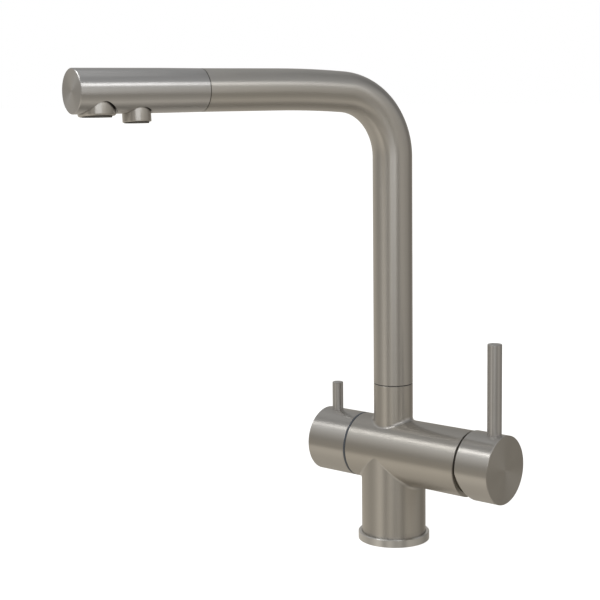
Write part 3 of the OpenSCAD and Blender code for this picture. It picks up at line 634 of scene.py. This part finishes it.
@dataclass(frozen=True)
class Fillet:
    """The ground weld where an upright cylinder meets the cross body, in millimetres.

    It is the corner that a ball of ball_r leaves as it rolls round, above (side 1) or below (side -1) the cross
    body. Its edges stand gap proud of the metal, and its back is sunk in it.
    """

    name: str
    upright_r: float
    side: int
    ball_r: float = 2.6
    sink: float = 0.6
    gap: float = 0.01
    around: int = 180
    arc: int = 8
    smooth_deg: float = 50.0

    def build(self, axis_z: float, cross_r: float, steel: bpy.types.Material) -> None:
        """Bends a fine grid into the rolled corner, closed underneath inside the metal.

        Args:
            axis_z: Height of the cross body's axis.
            cross_r: Radius of the cross body.
            steel: The weld's finish.
        """
        bpy.ops.object.select_all(action="DESELECT")
        bpy.ops.mesh.primitive_grid_add(x_subdivisions=self.arc + 2, y_subdivisions=self.around, size=MM)
        piece = Workpiece(self.name, bpy.context.object)
        points = piece.obj.data.vertices
        rows = sorted({round(p.co.y, 9) for p in points})
        columns = sorted({round(p.co.x, 9) for p in points})
        for point in points:
            row = rows.index(round(point.co.y, 9))
            column = columns.index(round(point.co.x, 9))
            place = self._point(2 * math.pi * row / (len(rows) - 1), column, len(columns) - 1, cross_r)
            point.co = Vector((place.x, place.y, place.z + axis_z)) * MM
        piece.edit()
        piece.weld()
        piece.close()
        piece.done(Part.TAP, Slot.BODY, steel, smooth_deg=self.smooth_deg)

    def _point(self, angle: float, column: int, last: int, cross_r: float) -> Vector:
        """Finds one point of the section at an angle round the upright.

        Args:
            angle: The place round the upright.
            column: Number of the point; the first and the last lie together inside the metal.
            last: Number of the last point.
            cross_r: Radius of the cross body.

        Returns:
            The point, in millimetres from the crossing of the two axes.
        """
        out = Vector((math.cos(angle), math.sin(angle), 0))
        reach = cross_r + self.ball_r
        ball = out * (self.upright_r + self.ball_r)
        ball.z = self.side * math.sqrt(reach ** 2 - ball.y ** 2)
        on_upright = out * self.upright_r + Vector((0, 0, ball.z))
        on_cross = Vector((ball.x, ball.y * cross_r / reach, ball.z * cross_r / reach))
        if column in (0, last):
            inside = (on_upright + on_cross) / 2 - ball
            depth = inside.length + self.sink + (inside.length - self.ball_r) ** 2
            return ball + inside.normalized() * depth
        share = (column - 1) / (last - 2)
        spoke = (on_upright - ball).lerp(on_cross - ball, share)
        return ball + spoke.normalized() * (self.ball_r - self.gap)


@dataclass
class FaucetBody:
    """The fixed part: column, cross body and collar, with the base ring under it; in millimetres."""

    axis_z: float = 65.0
    cross_r: float = 23.1
    skin: float = 0.04
    fillets: tuple[Fillet, ...] = (Fillet("collar_weld", 14.0, 1), Fillet("column_weld", 23.0, -1))

    def build(self) -> None:
        """Dresses the body and the rings on it, and grinds its two welds."""
        centre = (0, 0, self.axis_z)
        upright = Axis(centre)
        level = Axis(centre, ALONG_CROSS)
        own_surface = self.cross_r + self.skin
        # Brushed after welding: a warm grey whose bands run down the column and along the cross body
        dress("body", BrushedSteel("brushed stainless steel, body", upright, level, own_surface, colour="#ccc8c2",
                                   roughness=0.355))
        # Ground and then polished by hand: a thin bright line in the corner, with fainter lines
        weld = BrushedSteel("ground and polished weld, body", upright, level, own_surface, relief_um=0.2).material()
        for fillet in self.fillets:
            fillet.build(self.axis_z, self.cross_r, weld)
        # Turned fine and left bright: paler than the column above it
        dress("base_ring", BrushedSteel("turned stainless steel, base ring", upright, colour="#e2e1df"))
        # Turned steel, painted dark as shade: the dark ring deep in the groove behind the right knob
        dress("cover_ring", BrushedSteel("turned stainless steel, cover dome", level, colour="#5a554d"))
        # Smooth and half matt: a bluish grey line in the left seam
        dress("friction_ring", Plain("moulded acetal ring", "#5d646e", 0.45, ior=1.48))
        # Matt and black, without a glint
        dress("base_gasket", Plain("soft nitrile rubber", "#191a1b", 0.7, ior=1.52))
        # Half matt and nearly black: the thin dark line under the spout
        dress("collar_washer", Plain("moulded dark nylon", "#262628", 0.5, ior=1.53))


@dataclass
class Handle:
    """A handle: the knob on one end of the cross body and the round lever in it; in millimetres."""

    kind: str
    lever_x: float
    axis_z: float = 65.0

    def build(self) -> None:
        """Dresses the knob and its lever."""
        level = Axis((0, 0, self.axis_z), ALONG_CROSS)
        upright = Axis((self.lever_x, 0, 0))
        # Turned and brushed round: bands along the knob, and a fan of light on its end
        dress(f"{self.kind}_knob", BrushedSteel(f"brushed stainless steel, {self.kind} knob", level))
        # Drawn bar, brushed round: narrow upright bands, a little cooler than the knob
        dress(f"{self.kind}_lever", BrushedSteel(f"brushed stainless steel, {self.kind} lever", upright,
                                                  colour="#c9c8c8"))


@dataclass
class MixerHandle(Handle):
    """The right handle: knob and long lever."""

    kind: str = "mixer"
    lever_x: float = 85.2


@dataclass
class FilterHandle(Handle):
    """The left handle: knob and short lever."""

    kind: str = "filter"
    lever_x: float = -51.0


@dataclass
class InnerParts:
    """The cartridge, valve, seals, hose and screws, seen only through gaps and from below."""

    finishes: dict[Plain, tuple[str, ...]] = field(default_factory=lambda: {
        # Turned or drawn and left so: a neutral grey with small soft glints
        Plain("plain stainless steel", "#8f8b84", 0.35, metallic=1.0): (
            "swivel_stop_screw", "mixer_grub_screw", "filter_grub_screw", "pivot_pin", "stem", "spindle_clip",
            "spout_foot"),
        # Turned: a warm yellow with soft glints
        Plain("turned brass", "#b5945a", 0.3, metallic=1.0): (
            "cartridge_nut", "valve_body", "valve_spindle", "hose_ferrule"),
        # Painted near-black as shade: the thin dark line in the arm's seam
        Plain("steel painted near-black as seam shade", "#33322f", 0.5, metallic=1.0): ("head_nipple",),
        # Lapped flat: a creamy white with a hard, clear gloss
        Plain("lapped alumina ceramic", "#edebe4", 0.2, ior=1.76): (
            "fixed_disc", "moving_disc", "valve_fixed_disc", "valve_moving_disc"),
        # Moulded: a milky off-white, half matt
        Plain("moulded acetal, off-white", "#dbd6c9", 0.45, ior=1.48): (
            "cartridge_base", "disc_carrier", "turret", "slide_rings"),
        # Moulded: a dull blue-grey
        Plain("moulded nylon, blue-grey", "#3d4a5c", 0.5, ior=1.53): ("cartridge_housing",),
        # Moulded: a mid to dark grey, half matt, in the outlets' mouths
        Plain("moulded acetal, dark grey", "#66635e", 0.5, ior=1.48): ("main_insert", "nozzle_insert", "filter_hose"),
        # Moulded and soft: black, with hardly a glint
        Plain("soft nitrile rubber, seals", "#17181a", 0.6, ior=1.52): (
            "seat_o_rings", "spindle_o_ring", "valve_seal", "swivel_o_rings", "main_washer"),
    })

    def build(self) -> None:
        """Dresses each inner node with its group's finish."""
        for finish, nodes in self.finishes.items():
            material = finish.material()
            for node in nodes:
                cover(node, material)


@dataclass(frozen=True)
class LightCard:
    """A soft light card of the studio: its middle, what it faces, its size in metres and its brightness."""

    name: str
    middle: Triple
    faces: Triple
    width: float
    height: float
    level: float
    colour: tuple[float, float, float, float] = (1, 1, 0.98, 1)

    def build(self) -> None:
        """Hangs the card in the studio, where only the steel sees it."""
        bpy.ops.object.select_all(action="DESELECT")
        bpy.ops.mesh.primitive_plane_add(size=1.0)
        card = bpy.context.object
        card.name = self.name
        ahead = (Vector(self.faces) - Vector(self.middle)).normalized()
        side = Vector(UPRIGHT).cross(ahead).normalized()
        turn = Matrix((side, ahead.cross(side), ahead)).transposed().to_4x4()
        card.matrix_world = Matrix.Translation(self.middle) @ turn @ Matrix.Diagonal((self.width, self.height, 1, 1))
        # Stretched cloth, lit from behind: a soft white patch in the steel's reflections
        mat = empty_material(f"white cloth, {self.name}")
        glow = add_node(mat.node_tree, "ShaderNodeEmission", {"Color": self.colour, "Strength": self.level})
        add_node(mat.node_tree, "ShaderNodeOutputMaterial", {"Surface": glow.outputs[0]})
        card.data.materials.append(mat)
        card.visible_camera = False
        card.visible_shadow = False


@dataclass
class Studio:
    """A white studio: pale floor, soft light all round, four light cards, and the camera.

    The camera's place is in millimetres and degrees. A wall is a list of heights in degrees, from straight down to
    straight up, each with its level of light, and the ring is one of headings, which dims or lifts the walls.
    Headings are degrees to the right of the camera as seen from the faucet. A blend gives the sine or cosine of the
    heading where one wall starts to turn into the next, and where it has. Light is warm from low down and a little
    cool from high up.
    """

    focal_px: float = 1400.84
    frame_px: float = 600.0
    sensor_mm: float = 36.0
    distance: float = 992.79
    height: float = 320.70
    azimuth: float = 36.3288
    yaw: float = 3.8074
    pitch: float = 5.9412
    roll: float = -0.6165
    shift: float = -0.1
    top: float = 2.5
    left_wall: Stops = (
        (-90, 0.45), (-50, 0.5), (-30, 0.58), (-21, 0.56), (-15, 0.33), (8, 0.3), (18, 0.4), (28, 0.52), (35, 0.68),
        (42, 0.78), (48, 0.62), (52, 0.36), (56, 0.24), (65, 0.28), (90, 0.4))
    right_wall: Stops = (
        (-90, 0.24), (-64, 0.36), (-55, 0.55), (-47, 0.58), (-40, 0.42), (-20, 0.3), (-10, 0.33), (0, 0.4), (8, 0.45),
        (14, 0.5), (22, 0.56), (28, 0.66), (32, 0.64), (36, 0.44), (50, 0.4), (90, 0.38))
    back_wall: Stops = ((-90, 0.24), (-40, 0.3), (-5, 0.3), (20, 0.26), (45, 0.24), (90, 0.34))
    ring: Stops = (
        (-180, 1.5), (-150, 1.7), (-128, 1.6), (-99, 0.85), (-85, 0.86), (-72, 1.0), (-56, 1.35), (-46, 1.25),
        (-39, 0.85), (-32, 0.6), (-22, 0.95), (-12, 1.1), (0, 0.72), (12, 0.75), (20, 1.0), (27, 0.72), (36, 0.62),
        (46, 1.05), (56, 1.12), (75, 1.0), (92, 0.92), (110, 0.8), (122, 0.68), (140, 0.88), (155, 1.05), (167, 1.25),
        (180, 1.4))
    side_blend: tuple[float, float] = (-0.5, 0.5)
    back_blend: tuple[float, float] = (-0.2, -0.65)
    warm_below: float = -5.0
    cool_above: float = 38.0
    warm_light: tuple[float, float, float, float] = (1.075, 1.0, 0.87, 1)
    cool_light: tuple[float, float, float, float] = (1.0, 1.0, 0.99, 1)
    cards: tuple[LightCard, ...] = (
        LightCard("card_by_camera", (0.34, -0.45, 0.34), (-0.06, -0.2, 0.31), 0.34, 0.24, 1.3),
        LightCard("card_at_left", (-0.17, -0.47, 0.7), (0.06, -0.02, 0.085), 0.42, 0.13, 4.1),
        LightCard("card_at_right", (0.318, -0.189, 0.535), (-0.071, -0.239, 0.324), 0.18, 0.1, 2.95),
        LightCard("card_above", (-0.064, -0.096, 0.66), (-0.066, -0.232, 0.324), 0.27, 0.1, 0.65))
    floor_size: float = 60.0
    floor_grey: float = 0.8
    floor_glow: float = 0.8

    def build(self) -> None:
        """Sets up the camera, the floor and the light."""
        scene = bpy.context.scene
        scene.view_settings.view_transform = "Standard"
        scene.view_settings.look = "None"
        self._camera(scene)
        self._light(scene)
        for card in self.cards:
            card.build()
        self._floor()

    def _camera(self, scene: bpy.types.Scene) -> None:
        """Stands the camera where the photograph's was.

        Args:
            scene: The scene that takes it.
        """
        turn, yaw = math.radians(self.azimuth), math.radians(self.yaw)
        pitch, roll = math.radians(self.pitch), math.radians(self.roll)
        level = Vector((-math.sin(turn), math.cos(turn), 0))
        level.rotate(Matrix.Rotation(yaw, 3, "Z"))
        ahead = level * math.cos(pitch) - Vector((0, 0, math.sin(pitch)))
        right = ahead.cross(Vector(UPRIGHT)).normalized()
        up = right.cross(ahead)
        right, up = (right * math.cos(roll) + up * math.sin(roll), up * math.cos(roll) - right * math.sin(roll))
        data = bpy.data.cameras.new("studio_camera")
        data.sensor_width = self.sensor_mm
        data.sensor_fit = "HORIZONTAL"
        data.lens = self.focal_px / self.frame_px * data.sensor_width
        data.shift_y = self.shift
        camera = bpy.data.objects.new("studio_camera", data)
        where = Vector((self.distance * math.sin(turn), -self.distance * math.cos(turn), self.height)) * MM
        camera.matrix_world = Matrix.Translation(where) @ Matrix((right, up, -ahead)).transposed().to_4x4()
        scene.collection.objects.link(camera)
        scene.camera = camera

    def _light(self, scene: bpy.types.Scene) -> None:
        """Wraps the walls' light round the scene, and shows the camera a plain white behind the object.

        Args:
            scene: The scene that takes it.
        """
        world = bpy.data.worlds.new("soft studio")
        world.use_nodes = True
        scene.world = world
        tree = world.node_tree
        tree.nodes.clear()
        look = add_node(tree, "ShaderNodeTexCoord")
        turned = add_node(tree, "ShaderNodeMapping", {
            "Vector": look.outputs["Generated"], "Rotation": (0, 0, math.radians(90 - self.azimuth))})
        split = add_node(tree, "ShaderNodeSeparateXYZ", {0: turned.outputs[0]})
        rise = add_node(tree, "ShaderNodeMath", {0: split.outputs["Z"]}, operation="ARCSINE")
        heading = add_node(tree, "ShaderNodeMath", {0: split.outputs["Y"], 1: split.outputs["X"]}, operation="ARCTAN2")
        walls = self._walls(tree, rise.outputs[0], heading.outputs[0])
        warmth = add_node(tree, "ShaderNodeMapRange", {
            "Value": rise.outputs[0], "From Min": math.radians(self.warm_below),
            "From Max": math.radians(self.cool_above)})
        tint = add_node(tree, "ShaderNodeMix", {
            FACTOR: warmth.outputs[0], COLOUR_A: self.warm_light, COLOUR_B: self.cool_light}, data_type="RGBA")
        light = add_node(tree, "ShaderNodeMix", {FACTOR: 1.0, COLOUR_A: walls, COLOUR_B: tint.outputs[COLOUR_OUT]},
                         data_type="RGBA", blend_type="MULTIPLY")
        # Both the walls and the ring are divided by top to fit a ramp, so their product is lifted by its square
        soft = add_node(tree, "ShaderNodeBackground", {
            "Color": light.outputs[COLOUR_OUT], "Strength": self.top ** 2})
        white = add_node(tree, "ShaderNodeBackground", {"Color": (1, 1, 1, 1), "Strength": 1.0})
        seen = add_node(tree, "ShaderNodeLightPath")
        both = add_node(tree, "ShaderNodeMixShader", {
            0: seen.outputs["Is Camera Ray"], 1: soft.outputs[0], 2: white.outputs[0]})
        add_node(tree, "ShaderNodeOutputWorld", {"Surface": both.outputs[0]})

    def _walls(self, tree: bpy.types.NodeTree, rise: bpy.types.NodeSocket,
               heading: bpy.types.NodeSocket) -> bpy.types.NodeSocket:
        """Blends the left, the right and the back wall by heading, and shades them with the ring.

        Args:
            tree: The world's node tree.
            rise: Height of the look, in radians.
            heading: Heading of the look, in radians.

        Returns:
            The level of light, divided by the square of top.
        """
        height = add_node(tree, "ShaderNodeMapRange", {
            "Value": rise, "From Min": -math.pi / 2, "From Max": math.pi / 2})
        walls = []
        for stops in (self.left_wall, self.right_wall, self.back_wall):
            walls.append(add_node(tree, "ShaderNodeValToRGB", {0: height.outputs[0]}))
            set_ramp(walls[-1], stops, -90, 90, self.top)
        around = add_node(tree, "ShaderNodeMapRange", {"Value": heading, "From Min": -math.pi, "From Max": math.pi})
        ring = add_node(tree, "ShaderNodeValToRGB", {0: around.outputs[0]})
        set_ramp(ring, self.ring, -180, 180, self.top)
        shares = []
        for operation, blend in (("SINE", self.side_blend), ("COSINE", self.back_blend)):
            toward = add_node(tree, "ShaderNodeMath", {0: heading}, operation=operation)
            shares.append(add_node(tree, "ShaderNodeMapRange", {
                "Value": toward.outputs[0], "From Min": blend[0], "From Max": blend[1],
            }, interpolation_type="SMOOTHSTEP").outputs[0])
        sides = add_node(tree, "ShaderNodeMix", {
            FACTOR: shares[0], COLOUR_A: walls[0].outputs[0], COLOUR_B: walls[1].outputs[0]}, data_type="RGBA")
        wall = add_node(tree, "ShaderNodeMix", {
            FACTOR: shares[1], COLOUR_A: sides.outputs[COLOUR_OUT], COLOUR_B: walls[2].outputs[0]}, data_type="RGBA")
        shaded = add_node(tree, "ShaderNodeMix", {
            FACTOR: 1.0, COLOUR_A: wall.outputs[COLOUR_OUT], COLOUR_B: ring.outputs[0],
        }, data_type="RGBA", blend_type="MULTIPLY")
        return shaded.outputs[COLOUR_OUT]

    def _floor(self) -> None:
        """Lays the pale floor, seen by the camera and left out of the steel's reflections."""
        bpy.ops.object.select_all(action="DESELECT")
        bpy.ops.mesh.primitive_plane_add(size=self.floor_size, location=(0, 0, 0))
        floor = bpy.context.object
        floor.name = "pale_floor"
        # Matt paint with a glow of its own: white to the camera, whatever the light
        mat = empty_material("white studio floor")
        tree = mat.node_tree
        paint = add_node(tree, "ShaderNodeBsdfDiffuse", {"Color": (self.floor_grey,) * 3 + (1,)})
        glow = add_node(tree, "ShaderNodeEmission", {"Color": (1, 1, 1, 1), "Strength": self.floor_glow})
        both = add_node(tree, "ShaderNodeAddShader", {0: paint.outputs[0], 1: glow.outputs[0]})
        add_node(tree, "ShaderNodeOutputMaterial", {"Surface": both.outputs[0]})
        floor.data.materials.append(mat)
        floor.visible_glossy = False
        floor.visible_diffuse = False


def main() -> None:
    """Builds the faucet's sub-assemblies in order, then the studio."""
    logging.basicConfig(level=logging.INFO, format="%(message)s")
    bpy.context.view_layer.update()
    for assembly in (Spout(), FaucetBody(), MixerHandle(), FilterHandle(), InnerParts(), Studio()):
        LOG.info("%s", type(assembly).__name__)
        assembly.build()


if __name__ == "__main__":
    main()
